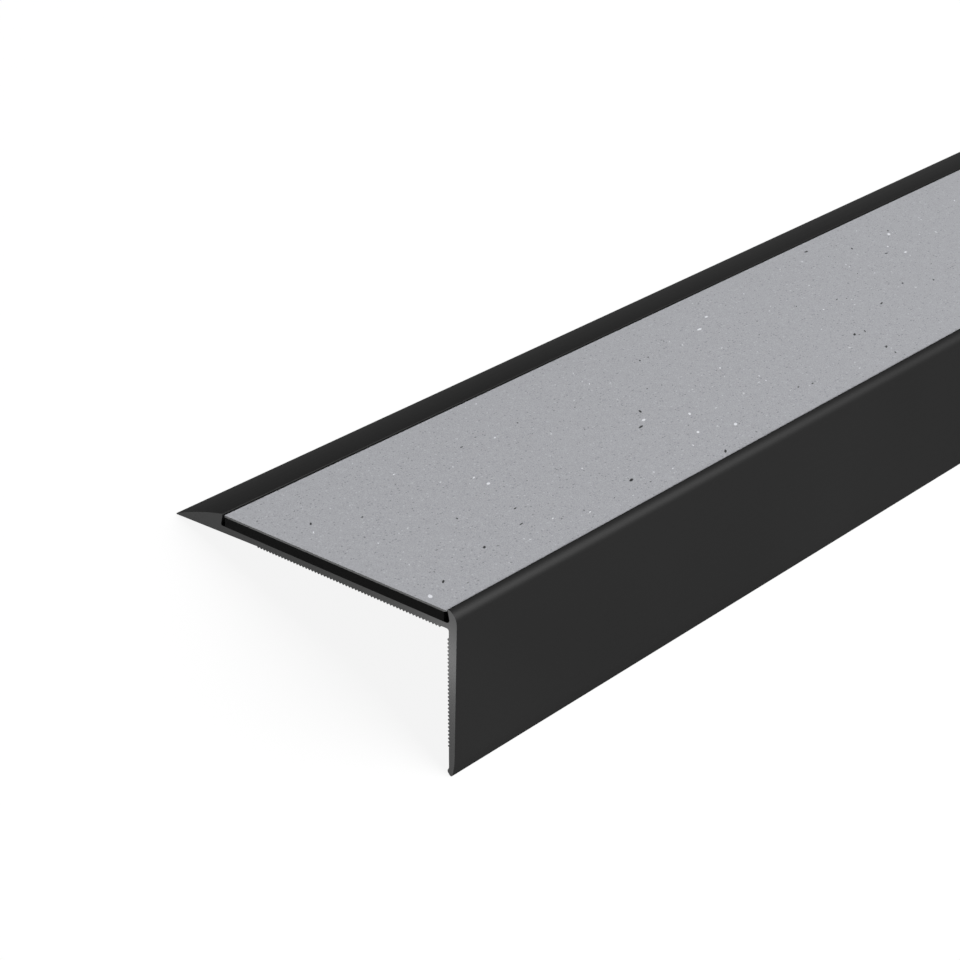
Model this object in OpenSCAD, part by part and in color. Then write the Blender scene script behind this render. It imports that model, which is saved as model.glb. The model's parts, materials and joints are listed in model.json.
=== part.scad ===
// Stair nosing: an extruded black angle with a feathered ramp, and a speckled strip in its recess.
// The section is drawn as fitted on a stair: x grows towards the nose, y grows upwards, the front of
// the nose is x = 0 and the floor of the recess is y = 0. It is then tilted so that the feathered
// edge and the toe both stand on z = 0, as a loose length lies on a level floor.

/* [Stock] */
// Length of the cut piece
stock_length = 1000; // [100:10:3000]

/* [Insert] */
// Width of the insert
insert_width = 50; // [30:0.5:90]
// Thickness of the black backing layer
backing_thickness = 1.76; // [1:0.02:4]
// Thickness of the speckled wear layer
wear_thickness = 0.4; // [0.3:0.02:2]
// How far the insert's front is cut back below its top edge
front_undercut = 0.6; // [0.4:0.05:2]
// Thickness of the wear layer left at that edge
front_edge = 0.2; // [0.05:0.05:0.25]
// Gap between the insert and the lip, level with the top of the insert
front_gap = 0.22; // [0.1:0.02:2]
// Gap between the insert and the ramp, level with the top of the insert
rear_gap = 0.48; // [0.3:0.02:2]

/* [Tread leg] */
// Thickness of the web under the recess, without its teeth
tread_wall = 1.02; // [0.8:0.02:3]
// Width of the ramp, from the foot of the recess to the feathered edge
ramp_width = 11.1; // [8:0.05:16]
// Radius of the convex top of the ramp
ramp_radius = 65; // [30:1:120]
// Height of the ramp's inner edge above the insert
ramp_stand = 0.09; // [0:0.01:0.4]
// Lean of the rear recess wall over the insert, in degrees
rear_wall_lean = 13.2; // [0:0.2:15]
// Width of the smooth foot below the ramp, which slopes down to the feathered edge
foot_width = 19.5; // [14:0.1:28]
// Drop of the foot over its width
foot_drop = 0.52; // [0.4:0.02:1]
// Step of the foot below the roots of the teeth
foot_step = 0.1; // [0.05:0.01:0.3]

/* [Nose and lip] */
// Outer radius of the nose
nose_radius = 2.4; // [2.2:0.1:5]
// Height of the lip above the insert
lip_stand = 0.36; // [0.2:0.01:1]
// Thickness of the lip at its foot
lip_wall = 1.42; // [1.2:0.02:1.8]
// Lean of the lip over the insert, in degrees
lip_lean = 12.6; // [0:0.2:14]

/* [Riser leg] */
// Height of the riser below the recess floor
riser_height = 28.1; // [20:0.05:60]
// Thickness of the riser at its top, without its teeth
riser_wall = 1.72; // [1.6:0.02:3]
// How far the front of the riser leans in over its height
riser_taper = 0.68; // [0:0.02:0.8]
// Height of the smooth neck and toe below the teeth
neck_height = 5.22; // [4:0.02:10]
// Step of the neck behind the roots of the teeth
neck_step = 0.14; // [0.05:0.01:0.3]

/* [Toe] */
// Radius of the round end of the toe
toe_radius = 0.35; // [0.25:0.01:0.45]
// Distance of the toe's centre in front of the back of the neck
toe_inset = 0.41; // [0.3:0.01:0.6]
// Radius of the riser's front where it runs in to the toe
toe_sweep_radius = 12; // [6:0.5:20]
// Radius of the bead behind the toe
bead_radius = 0.54; // [0.45:0.01:0.7]
// Height of the bead's centre above the end of the toe
bead_height = 0.82; // [0.7:0.01:1.2]
// Reach of the bead behind the neck
bead_reach = 0.3; // [0.2:0.01:0.6]
// Radius of the hollow between neck and bead
hollow_radius = 0.8; // [0.4:0.1:4]

/* [Teeth] */
// Pitch of the grip teeth
tooth_pitch = 0.7; // [0.5:0.05:2]
// Depth of the grip teeth
tooth_depth = 0.32; // [0.15:0.01:0.6]
// Width of the flat crest of a tooth
tooth_land = 0.1; // [0.05:0.01:0.3]
// Smooth stretch of each leg beside the inner corner
tooth_margin = 1.55; // [1:0.05:5]

/* [Edges] */
// Radius of the corner between the recess floor and the lip
lip_foot_radius = 0.6; // [0.1:0.05:0.6]
// Radius of the corner between the recess floor and the ramp
ramp_foot_radius = 0.25; // [0.1:0.05:0.3]
// Radius of the inner corner between the legs
inner_corner_radius = 0.4; // [0.1:0.05:0.9]
// Radius of the tip of the lip
lip_tip_radius = 0.18; // [0.05:0.01:0.3]
// Radius of the ramp's inner edge
ramp_edge_radius = 0.15; // [0.05:0.01:0.3]
// Radius of the feathered edge
feather_radius = 0.12; // [0.05:0.01:0.2]

/* [Hidden] */
// Largest distance between a true arc and its straight steps
arc_tolerance = 0.004;
// Two points nearer than this are one corner of an outline
same_point = 0.0001;

function direction(angle) = [cos(angle), sin(angle)];
function angle_of(v) = atan2(v[1], v[0]);
function turned(v, angle) = norm(v) * direction(angle_of(v) + angle);
// The far leg of a right triangle
function leg(hypotenuse, near_leg) = sqrt(hypotenuse ^ 2 - near_leg ^ 2);

// Points along an arc, from one angle to another, either way round
function arc(center, radius, from, to) =
    let (
        widest_step = 2 * acos(1 - arc_tolerance / radius),
        steps = max(2, ceil(abs(to - from) / widest_step))
    )
    [for (i = [0:steps]) center + radius * direction(from + (to - from) * i / steps)];

// Hollow corner between a line that comes in at one angle and a line that leaves further to the left
function hollow_corner(corner, angle_in, angle_out, radius) =
    let (
        setback = radius * tan((angle_out - angle_in) / 2),
        center = corner - setback * direction(angle_in) + radius * direction(angle_in + 90)
    )
    arc(center, radius, angle_in - 90, angle_out - 90);

// Row of flat-crested teeth along a line from root to root, with the crests to the left of its run
function teeth(start, run_angle, run) =
    let (
        count = floor(run / tooth_pitch),
        first = (run - count * tooth_pitch) / 2,
        flank = (tooth_pitch - tooth_land) / 2,
        corners = [[0, 0], [flank, tooth_depth], [flank + tooth_land, tooth_depth], [tooth_pitch, 0]]
    )
    [for (i = [0:count - 1], corner = corners)
        start + (first + i * tooth_pitch + corner[0]) * direction(run_angle)
            + corner[1] * direction(run_angle + 90)];

// The same outline without the second of two equal neighbours
function without_repeats(points) =
    [for (i = [0:len(points) - 1])
        let (next = points[(i + 1) % len(points)])
        if (norm(next - points[i]) > same_point) points[i]];

// Insert and recess
insert_thickness = backing_thickness + wear_thickness;
insert_front = -lip_wall - insert_thickness * tan(lip_lean) - front_gap;
insert_rear = insert_front - insert_width;
recess_rear = insert_rear - rear_gap - insert_thickness * tan(rear_wall_lean);
tread_width = ramp_width - recess_rear;

// Nose curve, which carries the round tip of the lip inside it
riser_lean = atan(riser_taper / riser_height);
lip_tip_level = insert_thickness + lip_stand - lip_tip_radius;
lip_tip_center = [lip_tip_radius / cos(lip_lean) - lip_wall - lip_tip_level * tan(lip_lean),
    lip_tip_level];
nose_center = [-nose_radius,
    lip_tip_level - leg(nose_radius - lip_tip_radius, lip_tip_center[0] + nose_radius)];
lip_tip_angle = angle_of(lip_tip_center - nose_center);

// Sloping foot and feathered edge
foot_level = -tread_wall - foot_step;
foot_angle = atan(foot_drop / foot_width);
feather_center = [feather_radius - tread_width,
    feather_radius / cos(foot_angle) - (foot_width - feather_radius) * tan(foot_angle) + foot_level];

// Ramp curve, which carries the feathered edge and the ramp's inner edge inside it
ramp_edge_level = insert_thickness + ramp_stand - ramp_edge_radius;
ramp_edge_center = [recess_rear + ramp_edge_level * tan(rear_wall_lean)
    - ramp_edge_radius / cos(rear_wall_lean), ramp_edge_level];
ramp_chord = feather_center - ramp_edge_center;
edge_side = ramp_radius - ramp_edge_radius;
feather_side = ramp_radius - feather_radius;
edge_corner = acos((ramp_chord * ramp_chord + edge_side ^ 2 - feather_side ^ 2)
    / (2 * norm(ramp_chord) * edge_side));
ramp_center = ramp_edge_center + edge_side * direction(angle_of(ramp_chord) + edge_corner);
feather_angle = angle_of(feather_center - ramp_center);
ramp_edge_angle = angle_of(ramp_edge_center - ramp_center);

// Toe, with a sweep that leads in to it in front, and the bead behind it below a hollow
neck_back = -riser_wall - neck_step;
toe_center = [neck_back + toe_inset, toe_radius - riser_height];
front_start = nose_center + nose_radius * direction(-riser_lean);
front_run = direction(-90 - riser_lean);
front_inward = direction(180 - riser_lean);
toe_from_front = toe_center - front_start;
sweep_start = toe_from_front * front_run
    - leg(toe_sweep_radius - toe_radius, toe_sweep_radius - toe_from_front * front_inward);
sweep_center = front_start + sweep_start * front_run + toe_sweep_radius * front_inward;
sweep_end_angle = angle_of(toe_center - sweep_center);
bead_center = [neck_back - bead_reach + bead_radius, bead_height - riser_height];
bead_from_toe = bead_center - toe_center;
flank_angle = angle_of(bead_from_toe) + acos((toe_radius - bead_radius) / norm(bead_from_toe));
hollow_across = neck_back - hollow_radius - bead_center[0];
hollow_center = bead_center + [hollow_across, leg(hollow_radius + bead_radius, hollow_across)];
hollow_angle = angle_of(hollow_center - bead_center);

// Rows of teeth behind the riser, upwards, and under the tread, away from the nose
riser_teeth_start = neck_height - riser_height;
riser_teeth_run = riser_height - neck_height - tread_wall - tooth_margin;
tread_teeth_start = -riser_wall - tooth_margin;
tread_teeth_run = tread_width - foot_width - riser_wall - tooth_margin;

// Turn that brings the feathered edge and another round edge down on to one level floor
function lie_on(center, radius) =
    let (from_feather = center - feather_center)
    asin((radius - feather_radius) / norm(from_feather)) - angle_of(from_feather);

// Lie of the loose piece: the floor touches the feathered edge, and the toe or its bead
lie_angle = max(lie_on(toe_center, toe_radius), lie_on(bead_center, bead_radius));
feather_lying = turned(feather_center, lie_angle);
toe_lying = turned(toe_center, lie_angle);
lie_level = feather_lying[1] - feather_radius;
lie_middle = (feather_lying[0] - feather_radius + toe_lying[0] + toe_radius) / 2;

// A section that runs the length of the stock, lying loose
module lying_stock()
    translate([-lie_middle, 0, -lie_level])
        rotate([90, 0, 0])
            linear_extrude(stock_length, center = true)
                rotate(lie_angle)
                    children();

// One closed outline: down the riser, round the toe, along the teeth, round the ramp, back to the nose
module profile_section()
    polygon(without_repeats(concat(
        arc(sweep_center, toe_sweep_radius, -riser_lean, sweep_end_angle),
        arc(toe_center, toe_radius, sweep_end_angle, flank_angle - 360),
        arc(bead_center, bead_radius, flank_angle - 360, hollow_angle - 360),
        arc(hollow_center, hollow_radius, hollow_angle - 180, 0),
        [[neck_back, riser_teeth_start]],
        teeth([-riser_wall, riser_teeth_start], 90, riser_teeth_run),
        hollow_corner([-riser_wall, -tread_wall], 90, 180, inner_corner_radius),
        teeth([tread_teeth_start, -tread_wall], 180, tread_teeth_run),
        [[foot_width - tread_width, foot_level]],
        arc(feather_center, feather_radius, foot_angle - 90, feather_angle - 360),
        arc(ramp_center, ramp_radius, feather_angle, ramp_edge_angle),
        arc(ramp_edge_center, ramp_edge_radius, ramp_edge_angle, -rear_wall_lean),
        hollow_corner([recess_rear, 0], -90 - rear_wall_lean, 0, ramp_foot_radius),
        hollow_corner([-lip_wall, 0], 0, 90 + lip_lean, lip_foot_radius),
        arc(lip_tip_center, lip_tip_radius, 180 + lip_lean, lip_tip_angle),
        arc(nose_center, nose_radius, lip_tip_angle, -riser_lean)
    )));

module nosing_profile()
    color("#2e2e2e")
        lying_stock()
            profile_section();

module insert_backing()
    color("#151515")
        lying_stock()
            translate([insert_rear, 0])
                square([insert_width - front_undercut, backing_thickness]);

module insert_strip()
    color("#a5a6a8")
        lying_stock()
            translate([insert_rear, backing_thickness])
                polygon([
                    [0, 0],
                    [insert_width - front_undercut, 0],
                    [insert_width, wear_thickness - front_edge],
                    [insert_width, wear_thickness],
                    [0, wear_thickness],
                ]);

nosing_profile();
insert_backing();
insert_strip();
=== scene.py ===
"""Stair nosing: a black coated angle with a speckled strip in its recess, lying loose on a pale floor.

Lengths are in metres. The section is read in its fitted pose, with the tread level: "across" runs
towards the nose, "along" runs down the stock and "up" leaves the tread.
"""

import json
import math
import random

import bpy
from mathutils import Euler, Matrix, Vector

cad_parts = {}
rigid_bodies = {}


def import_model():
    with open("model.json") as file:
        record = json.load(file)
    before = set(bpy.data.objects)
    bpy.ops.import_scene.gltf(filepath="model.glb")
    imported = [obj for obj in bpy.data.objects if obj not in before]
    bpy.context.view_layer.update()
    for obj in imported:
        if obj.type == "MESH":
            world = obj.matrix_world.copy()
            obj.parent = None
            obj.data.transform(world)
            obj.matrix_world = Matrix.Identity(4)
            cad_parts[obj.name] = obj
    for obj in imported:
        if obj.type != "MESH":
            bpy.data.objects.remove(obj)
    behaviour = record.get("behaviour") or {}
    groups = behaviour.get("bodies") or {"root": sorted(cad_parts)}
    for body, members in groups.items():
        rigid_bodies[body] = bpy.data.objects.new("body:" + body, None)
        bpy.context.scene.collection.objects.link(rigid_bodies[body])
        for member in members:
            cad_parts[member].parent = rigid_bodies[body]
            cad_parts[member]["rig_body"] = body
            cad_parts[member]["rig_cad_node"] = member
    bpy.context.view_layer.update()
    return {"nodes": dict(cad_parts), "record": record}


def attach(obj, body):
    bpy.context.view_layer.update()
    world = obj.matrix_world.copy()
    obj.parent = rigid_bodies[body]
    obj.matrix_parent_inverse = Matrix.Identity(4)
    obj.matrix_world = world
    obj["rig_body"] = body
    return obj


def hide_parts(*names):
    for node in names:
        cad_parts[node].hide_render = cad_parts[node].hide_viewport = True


MM = 0.001

# View, as read from the photograph in the fitted pose, from the near end of the nose
VIEW_AZIMUTH = math.radians(41.175)
VIEW_ELEVATION = math.radians(26.144)
VIEW_PLACE = Vector((232.84, -260.7, 197.16)) * MM
VIEW_LENS = 96.27
SENSOR_WIDTH = 36.0
VIEW_CLIP = 0.01

# Light: one long soft box over the nose side, at places in the fitted pose, and a dim room
LONG_BOX_PLACE = (2.0, 1.15, 1.68)
LONG_BOX_AIM = (-0.03, 1.15, 0)
LONG_BOX_SIZE = (3.0, 1.9)
LONG_BOX_POWER = 154.0
WORLD_LEVEL = 0.12
FLOOR_SPAN = 40.0
FLOOR_GREY = 0.78
FLOOR_WHITE_SHARE = 0.9

# Painted light on the sawn ends: a painted sheen, brightest at the thick upper end of the riser and drawn
# out down it; its places are stretched first
SAWN_PAINTED_SHEEN_STRETCH = (1, 0, 0.75)
SAWN_PAINTED_SHEEN_CENTRE = Vector((-1, 0, -4.5)) * MM
SAWN_PAINTED_SHEEN_REACH = 5 * MM
SAWN_PAINTED_FADE_REACH = 20 * MM

# Edges that the saw and the knife leave, and the faces between them
SAWN_EDGE = 0.05 * MM
STRIP_EDGE = 0.06 * MM
BACKING_EDGE = 0.05 * MM
EDGE_STEPS = 2
WELD = 0.001 * MM
SMOOTH_ANGLE = math.radians(30)
FLAT_ANGLE = math.radians(0.2)
FLAT_WEIGHT = 100
CUT_FACING = 0.9

# Faint blue cast of all the vinyl
VINYL_CAST = (0.972, 0.985, 1.039)

# Flecks in the strip: the way that most of them run, their outline and their seat
FLECK_SEED = 1988
FLECK_SIDES = 7
FLECK_RUN = math.radians(125)
FLECK_STRAY = math.radians(22)
FLECK_SLIMNESS = (0.27, 0.6)
FLECK_SKEW = (-0.3, 0.3)
FLECK_RAGGED = (0.75, 1.1)
FLECK_TOP_SHARE = 0.85
FLECK_PROUD = 0.008 * MM
FLECK_SUNK = 0.03 * MM
FLECK_MARGIN = 1.0 * MM


def only(*pieces):
    """Select these pieces and nothing else, with the first one active."""
    bpy.ops.object.select_all(action="DESELECT")
    for piece in pieces:
        piece.select_set(True)
    bpy.context.view_layer.objects.active = pieces[0]


def in_edit(piece, element="EDGE"):
    """Open a piece in edit mode, to select by points or by edges."""
    only(piece)
    bpy.ops.object.mode_set(mode="EDIT")
    bpy.ops.mesh.select_mode(type=element)


def out_of_edit():
    bpy.ops.object.mode_set(mode="OBJECT")


class Wire:
    """An output of a shader node. A sum written with it adds the Math node that does the sum."""

    def __init__(self, finish, socket):
        self.finish = finish
        self.socket = socket

    def math(self, operation, first, second):
        return self.finish.add("ShaderNodeMath", {"operation": operation}, {0: first, 1: second})

    def __add__(self, other):
        return self.math("ADD", self, other)

    def __radd__(self, other):
        return self.math("ADD", other, self)

    def __sub__(self, other):
        return self.math("SUBTRACT", self, other)

    def __rsub__(self, other):
        return self.math("SUBTRACT", other, self)

    def __mul__(self, other):
        return self.math("MULTIPLY", self, other)

    def __rmul__(self, other):
        return self.math("MULTIPLY", other, self)

    def __truediv__(self, other):
        return self.math("DIVIDE", self, other)

    def __rtruediv__(self, other):
        return self.math("DIVIDE", other, self)

    def above(self, other):
        return self.math("GREATER_THAN", self, other)

    def largest(self, other):
        return self.math("MAXIMUM", self, other)

    def from_0_to_1(self):
        return self.finish.add("ShaderNodeClamp", None, {"Value": self})

    def other(self, name):
        """Another output of the same node."""
        return Wire(self.finish, self.socket.node.outputs[name])


class Finish:
    """A node material, built node by node."""

    def __init__(self, name, owner=None):
        self.owner = owner or bpy.data.materials.new(name)
        self.owner.use_nodes = True
        self.tree = self.owner.node_tree
        self.tree.nodes.clear()

    def add(self, kind, settings=None, sockets=None, out=0):
        """A new node with its settings, then its sockets' values or links, given by one of its outputs."""
        node = self.tree.nodes.new(kind)
        for key, value in (settings or {}).items():
            setattr(node, key, value)
        for key, value in (sockets or {}).items():
            if isinstance(value, Wire):
                self.tree.links.new(value.socket, node.inputs[key])
            else:
                node.inputs[key].default_value = value
        return Wire(self, node.outputs[out]) if node.outputs else node

    def place(self, stretch=(1, 1, 1)):
        """The piece's own coordinates in the fitted pose, from the nose's near end, then stretched."""
        own = self.add("ShaderNodeTexCoord", out="Object")
        level = self.add("ShaderNodeMapping", {"vector_type": "TEXTURE"},
                         {"Vector": own, "Location": fitted.to_translation(), "Rotation": fitted.to_euler()})
        return self.add("ShaderNodeVectorMath", {"operation": "MULTIPLY"}, {0: level, 1: stretch})

    def noise(self, place, size, detail=2.0, roughness=0.5):
        """Cloudy values from 0 to 1 whose blots are about this size."""
        return self.add("ShaderNodeTexNoise", None, {
            "Vector": place, "Scale": 1 / size, "Detail": detail, "Roughness": roughness})

    def specks(self, place, cell, size, share):
        """1 on round specks of about this size, which a share of the cells of a level net carry."""
        gap = self.add("ShaderNodeTexVoronoi", {"voronoi_dimensions": "2D"},
                       {"Vector": place, "Scale": 1 / cell}, out="Distance")
        chance = self.add("ShaderNodeSeparateColor", None, {0: gap.other("Color")})
        reach = size / cell * (0.35 + 0.3 * chance.other("Green"))
        return ((reach - gap) * (3 * cell / size)).from_0_to_1() * chance.above(1 - share)

    def mix(self, share, first, second):
        """A colour between two colours."""
        return self.add("ShaderNodeMix", {"data_type": "RGBA"}, {0: share, 6: first, 7: second}, out=2)

    def bump(self, height, distance, strength=1.0):
        return self.add("ShaderNodeBump", None,
                        {"Height": height, "Distance": distance, "Strength": strength})

    def surface(self, **sockets):
        """The finished surface, with its sockets named in lower case."""
        named = {key.replace("_", " ").title().replace("Ior", "IOR"): value
                 for key, value in sockets.items()}
        body = self.add("ShaderNodeBsdfPrincipled", None, named)
        self.add("ShaderNodeOutputMaterial", None, {"Surface": body})
        return self.owner


def grey(level):
    return (level, level, level, 1)


def cool_grey(level):
    """A grey with the vinyl's cast."""
    red, green, blue = VINYL_CAST
    return (red * level, green * level, blue * level, 1)


def coat_finish():
    """Satin black coat, with the die's faint lines along the stock and a fine powder grain."""
    f = Finish("satin_black_coat")
    die_lines = f.noise(f.place(stretch=(1, 0.004, 1)), 0.5 * MM, detail=3)
    powder = f.noise(f.place(), 0.22 * MM, detail=2)
    cloud = f.noise(f.place(), 60 * MM, detail=2)
    level = 0.8 + 0.25 * cloud + 0.15 * powder
    return f.surface(
        base_color=f.mix(level * 0.5, grey(0.0), grey(0.05)),
        metallic=0.5,
        roughness=0.39 + 0.06 * die_lines + 0.06 * powder,
        specular_ior_level=0.0,
        specular_tint=grey(0.46),
        normal=f.bump(0.6 * powder + 0.4 * die_lines, 0.01 * MM, 0.35),
    )


def sawn_finish():
    """Bare aluminium as the saw leaves it, with painted light: a painted sheen, brightest at the thick upper
    end of the riser.
    """
    f = Finish("sawn_aluminium")
    place = f.place()
    blade_marks = f.noise(f.place(stretch=(1, 1, 0.06)), 0.12 * MM, detail=3)
    smear = f.noise(place, 6 * MM, detail=2)
    # Painted light: a painted sheen around one spot on the end, with a wider painted fade around it; neither
    # is the metal's own colour
    from_painted_sheen = f.add("ShaderNodeVectorMath", {"operation": "DISTANCE"},
                         {0: f.place(stretch=SAWN_PAINTED_SHEEN_STRETCH), 1: SAWN_PAINTED_SHEEN_CENTRE}, out="Value")
    painted_fade = 1 / (1 + from_painted_sheen / SAWN_PAINTED_FADE_REACH)
    painted_sheen = 1 / (1 + from_painted_sheen * from_painted_sheen / SAWN_PAINTED_SHEEN_REACH ** 2)
    # 0.035 is the metal's own level; the fade and sheen terms add painted light, and the blade marks and
    # smear are real texture
    level = (0.035 + 0.052 * painted_fade + 0.135 * painted_sheen) * (0.85 + 0.2 * blade_marks + 0.1 * smear)
    return f.surface(
        base_color=f.mix(level, grey(0.0), grey(1.0)),
        metallic=0.7,
        roughness=0.42 + 0.12 * blade_marks,
        normal=f.bump(blade_marks, 0.02 * MM, 0.5),
    )


def vinyl_finish():
    """Matt grey vinyl with a fine mottled grain and faint specks. The strong flecks are chips set in it."""
    f = Finish("grey_vinyl")
    place = f.place()
    grain = f.noise(place, 0.17 * MM, detail=2, roughness=0.55)
    blot = f.noise(place, 1.6 * MM, detail=2)
    dark_specks = f.specks(place, 0.7 * MM, 0.36 * MM, 0.16)
    pale_specks = f.specks(f.place(stretch=(0.93, 1.07, 1)), 0.8 * MM, 0.36 * MM, 0.14)
    shade = 0.475 + grain + 0.08 * blot - 0.38 * dark_specks + 0.3 * pale_specks
    return f.surface(
        base_color=f.mix(shade * 0.5, grey(0.0), cool_grey(0.708)),
        roughness=0.66 + 0.1 * grain,
        specular_ior_level=0.1,
        normal=f.bump(grain, 0.01 * MM, 0.4),
    )


def vinyl_cut_finish():
    """The strip's cut end, darker and rougher than its top."""
    f = Finish("cut_vinyl")
    grain = f.noise(f.place(), 0.2 * MM, detail=3)
    return f.surface(
        base_color=f.mix(grain, grey(0.14), grey(0.24)),
        roughness=0.75 + 0.1 * grain,
        specular_ior_level=0.2,
        normal=f.bump(grain, 0.03 * MM, 0.5),
    )


def backing_finish():
    """Black backing with a fine closed-cell grain."""
    f = Finish("black_backing")
    cells = f.noise(f.place(), 0.15 * MM, detail=2)
    return f.surface(
        base_color=f.mix(cells, grey(0.003), grey(0.009)),
        roughness=0.75 + 0.15 * cells,
        specular_ior_level=0.1,
        normal=f.bump(cells, 0.03 * MM, 0.5),
    )


def fleck_finish(name, low, high):
    """Chips whose tones lie between two greys."""
    f = Finish(name)
    tone = f.noise(f.place(), 1.5 * MM, detail=1)
    return f.surface(
        base_color=f.mix(tone, cool_grey(low), cool_grey(high)),
        roughness=0.5 + 0.2 * tone,
        specular_ior_level=0.3,
    )


def floor_finish():
    """Pale floor. It looks white by itself and in gloss, and it keeps a light shadow."""
    f = Finish("pale_floor")
    path = f.add("ShaderNodeLightPath", out="Is Camera Ray")
    seen = path.largest(path.other("Is Glossy Ray")).largest(path.other("Is Transmission Ray"))
    plain = f.add("ShaderNodeBsdfDiffuse", None, {"Color": grey(FLOOR_GREY)})
    white = f.add("ShaderNodeEmission", None, {"Color": grey(1.0), "Strength": 1.0})
    both = f.add("ShaderNodeMixShader", None, {0: seen * FLOOR_WHITE_SHARE, 1: plain, 2: white})
    f.add("ShaderNodeOutputMaterial", None, {"Surface": both})
    return f.owner


def dressed_copy(node_name, piece_name):
    """A copy of a CAD solid with its loose triangles merged back into whole faces."""
    only(frame["nodes"][node_name])
    bpy.ops.object.duplicate()
    piece = bpy.context.active_object
    piece.name = piece_name
    piece.data.name = piece_name
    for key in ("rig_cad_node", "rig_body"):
        if key in piece:
            del piece[key]
    piece.data.materials.clear()
    in_edit(piece, "VERT")
    bpy.ops.mesh.select_all(action="SELECT")
    bpy.ops.mesh.remove_doubles(threshold=WELD)
    bpy.ops.mesh.customdata_custom_splitnormals_clear()
    bpy.ops.mesh.dissolve_limited(angle_limit=FLAT_ANGLE)
    out_of_edit()
    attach(piece, "root")
    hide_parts(node_name)
    return piece


def bevel_edges(piece, wanted, width):
    """Break the edges whose two ends are both wanted."""
    in_edit(piece)
    bpy.ops.mesh.select_all(action="DESELECT")
    out_of_edit()
    points = piece.data.vertices
    for edge in piece.data.edges:
        edge.select = all(wanted(points[i].co) for i in edge.vertices)
    in_edit(piece)
    bpy.ops.mesh.bevel(offset=width, segments=EDGE_STEPS, affect="EDGES")
    bpy.ops.mesh.select_all(action="SELECT")
    bpy.ops.mesh.remove_doubles(threshold=WELD)
    out_of_edit()


def finish_faces(piece, skin, cut):
    """The skin all over, and the cut finish on the faces that look along the stock.

    The wide flats keep their own normals, so that only the narrow curves between them are smoothed.
    """
    piece.data.materials.append(skin)
    piece.data.materials.append(cut)
    for face in piece.data.polygons:
        face.material_index = int(abs(face.normal.y) > CUT_FACING)
    only(piece)
    bpy.ops.object.shade_smooth_by_angle(angle=SMOOTH_ANGLE)
    level = piece.modifiers.new("level_flats", "WEIGHTED_NORMAL")
    level.keep_sharp = True
    level.weight = FLAT_WEIGHT
    bpy.ops.object.modifier_apply(modifier=level.name)


def at_an_end(point):
    return abs(abs(point.y) - half_length) < WELD


def make_profile():
    piece = dressed_copy("nosing_profile", "coated_angle")
    bevel_edges(piece, at_an_end, SAWN_EDGE)
    finish_faces(piece, coat_finish(), sawn_finish())


def make_layers():
    strip = dressed_copy("insert_strip", "speckled_strip")
    bevel_edges(strip, lambda point: True, STRIP_EDGE)
    finish_faces(strip, vinyl_finish(), vinyl_cut_finish())
    backing = dressed_copy("insert_backing", "strip_backing")
    bevel_edges(backing, lambda point: True, BACKING_EDGE)
    skin = backing_finish()
    finish_faces(backing, skin, skin)


def make_flecks(name, finish, count, lengths, batch):
    """Thin chips set in the top of the strip, most of them drawn out one way, joined as one piece.

    Their lengths are in millimetres.
    """
    draw = random.Random(FLECK_SEED + batch)
    shortest, longest = lengths
    points = []
    faces = []
    across_room = (strip_rear + FLECK_MARGIN, strip_front - FLECK_MARGIN)
    along_room = half_length - FLECK_MARGIN
    for _ in range(count):
        middle = (across * draw.uniform(*across_room) + along * draw.uniform(-along_room, along_room)
                  + up * strip_top)
        length = (shortest + (longest - shortest) * draw.random() ** 2) * MM
        width = length * draw.uniform(*FLECK_SLIMNESS)
        turn = draw.gauss(FLECK_RUN, FLECK_STRAY)
        long_way = across * math.cos(turn) + along * math.sin(turn)
        short_way = along * math.cos(turn) - across * math.sin(turn)
        ring = [(math.tau * (i + draw.uniform(*FLECK_SKEW)) / FLECK_SIDES, draw.uniform(*FLECK_RAGGED))
                for i in range(FLECK_SIDES)]
        first = len(points)
        for height, share in ((-FLECK_SUNK, 1.0), (FLECK_PROUD, FLECK_TOP_SHARE)):
            for angle, reach in ring:
                points.append(middle + up * height + share * reach / 2 * (
                    long_way * length * math.cos(angle) + short_way * width * math.sin(angle)))
        low = [first + i for i in range(FLECK_SIDES)]
        high = [first + FLECK_SIDES + i for i in range(FLECK_SIDES)]
        faces.append(high)
        faces.append(low[::-1])
        for i in range(FLECK_SIDES):
            after = (i + 1) % FLECK_SIDES
            faces.append((low[i], low[after], high[after], high[i]))
    mesh = bpy.data.meshes.new(name)
    mesh.from_pydata(points, [], faces)
    piece = bpy.data.objects.new(name, mesh)
    bpy.context.scene.collection.objects.link(piece)
    mesh.materials.append(finish)
    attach(piece, "root")


def make_stage():
    bpy.ops.mesh.primitive_plane_add(size=FLOOR_SPAN)
    floor = bpy.context.active_object
    floor.name = "floor"
    floor.data.materials.append(floor_finish())


def make_light(name, place, aim, size, power):
    """A soft box at a place in the fitted pose, aimed at another, its first side along the stock."""
    data = bpy.data.lights.new(name, "AREA")
    data.shape = "RECTANGLE"
    data.size, data.size_y = size
    data.energy = power
    box = bpy.data.objects.new(name, data)
    bpy.context.scene.collection.objects.link(box)
    start = fitted @ Vector(place)
    back = (start - fitted @ Vector(aim)).normalized()
    first = (along - back * along.dot(back)).normalized()
    turn = Matrix((first, back.cross(first), back)).transposed().to_4x4()
    box.matrix_world = Matrix.Translation(start) @ turn


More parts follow.
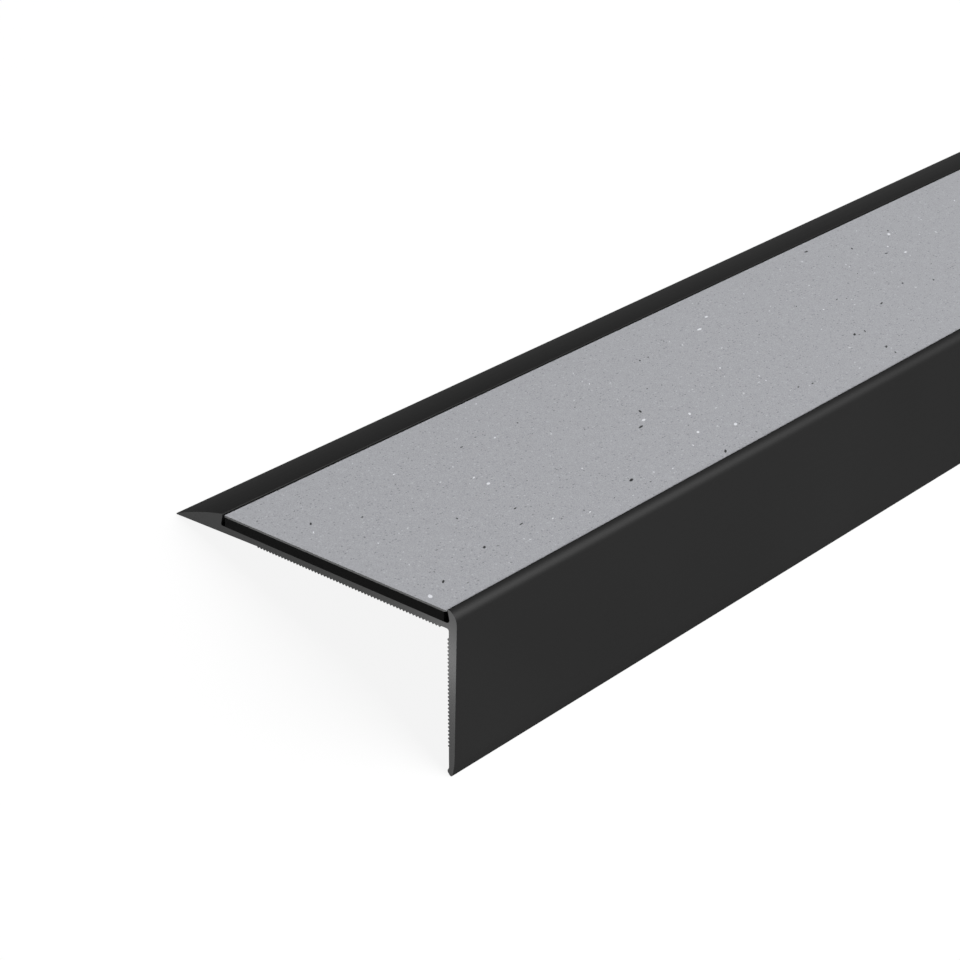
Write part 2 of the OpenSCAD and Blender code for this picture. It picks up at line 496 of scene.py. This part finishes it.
def make_world():
    world = bpy.data.worlds.new("studio")
    bpy.context.scene.world = world
    f = Finish("studio", world)
    sky = f.add("ShaderNodeBackground", None, {"Color": grey(1.0), "Strength": WORLD_LEVEL})
    f.add("ShaderNodeOutputWorld", None, {"Surface": sky})


def make_camera():
    data = bpy.data.cameras.new("camera")
    data.lens = VIEW_LENS
    data.sensor_width = SENSOR_WIDTH
    data.clip_start = VIEW_CLIP
    camera = bpy.data.objects.new("camera", data)
    bpy.context.scene.collection.objects.link(camera)
    looks = Euler((math.pi / 2 - VIEW_ELEVATION, 0, VIEW_AZIMUTH)).to_matrix().to_4x4()
    camera.matrix_world = fitted @ Matrix.Translation(VIEW_PLACE) @ looks
    bpy.context.scene.camera = camera


def reach(node_name, way):
    """How far a CAD solid reaches along a direction: its least and its most."""
    shares = [way.dot(point.co) for point in frame["nodes"][node_name].data.vertices]
    return min(shares), max(shares)


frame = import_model()
bpy.context.scene.view_settings.view_transform = "Standard"

# Fitted directions, from the way that the tread's bed faces
bed = next(mount for mount in frame["record"]["mounts"] if mount["name"] == "tread_bed")
up = -Vector(bed["axis"]).normalized()
along = Vector((0, 1, 0))
across = along.cross(up)

# Places on the solids
half_length = reach("nosing_profile", along)[1]
strip_rear, strip_front = reach("insert_strip", across)
strip_top = reach("insert_strip", up)[1]
nose_front = reach("nosing_profile", across)[1]
recess_floor = reach("insert_backing", up)[0]
near_end = across * nose_front - along * half_length + up * recess_floor
fitted = Matrix.Translation(near_end) @ Matrix((across, along, up)).transposed().to_4x4()

make_camera()
make_world()
make_stage()
make_light("long_box", LONG_BOX_PLACE, LONG_BOX_AIM, LONG_BOX_SIZE, LONG_BOX_POWER)
make_profile()
make_layers()
make_flecks("white_flecks", fleck_finish("white_fleck", 0.6, 0.8), count=200, lengths=(0.55, 1.7), batch=1)
make_flecks("dark_flecks", fleck_finish("dark_fleck", 0.012, 0.04), count=270, lengths=(0.55, 1.7), batch=2)
make_flecks("pale_flecks", fleck_finish("pale_fleck", 0.48, 0.6), count=500, lengths=(0.5, 1.1), batch=3)
make_flecks("grey_flecks", fleck_finish("grey_fleck", 0.1, 0.25), count=1250, lengths=(0.35, 0.8), batch=4)
